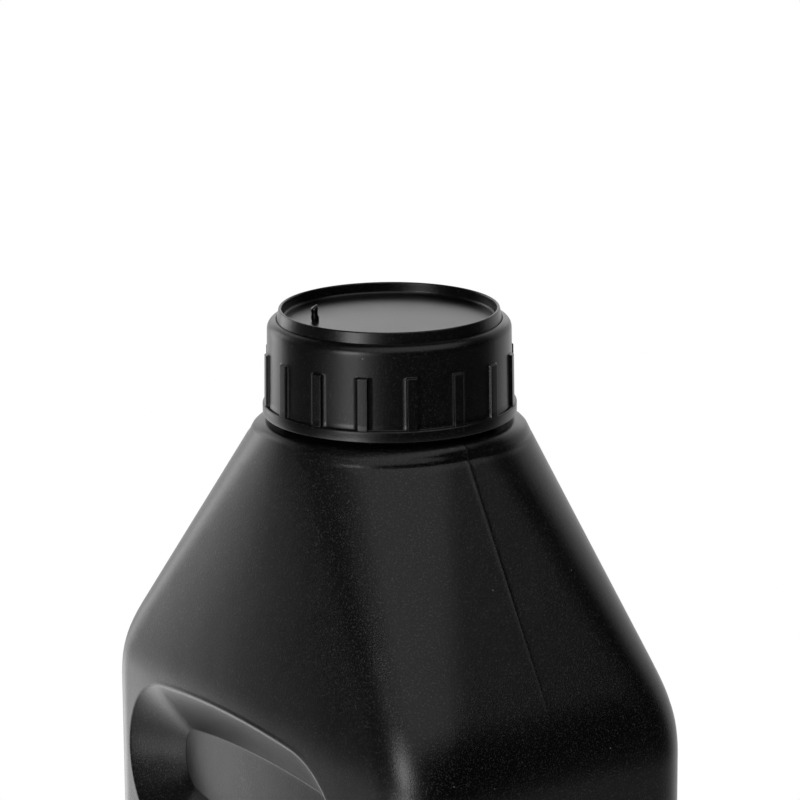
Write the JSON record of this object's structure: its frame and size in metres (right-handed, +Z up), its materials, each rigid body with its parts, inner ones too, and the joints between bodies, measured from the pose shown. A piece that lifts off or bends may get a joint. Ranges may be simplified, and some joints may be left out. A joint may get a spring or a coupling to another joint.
{
  "type": "motor oil bottle",
  "caption": "Rectangular blown plastic oil bottle with a sloping square-to-round shoulder, off-centre grip pockets on its wide faces and a ribbed screw cap over a sealing liner.",
  "frame": {"origin": "middle of the foot, on the surface that the bottle stands on", "axes": "+Z up along the neck's axis, X across the wide faces, +Y out of a wide face"},
  "size_m": [0.109, 0.0706, 0.2055],
  "materials": {
    "bottle": "satin black, fine blown grain",
    "cap": "satin black, moulded",
    "liner": "soft matt foam"
  },
  "bodies": {
    "bottle_body": {"bottle": "bottle"},
    "liner_body": {"cap_liner": "liner"},
    "cap_body": {"screw_cap": "cap"}
  },
  "joints": [
    {"name": "cap_lift", "type": "slide", "parent": "bottle_body", "child": "liner_body", "axis": [0, 0, 1], "range_m": [0, 0.01801]},
    {"name": "cap_turn", "type": "hinge", "parent": "liner_body", "child": "cap_body", "pos_m": [0, 0, 0.2], "axis": [0, 0, 1], "range_deg": [0, 1080]}
  ],
  "couplings": [
    {"joint": "cap_lift", "follows": "cap_turn", "m_per_rad": 0.00095493}
  ]
}
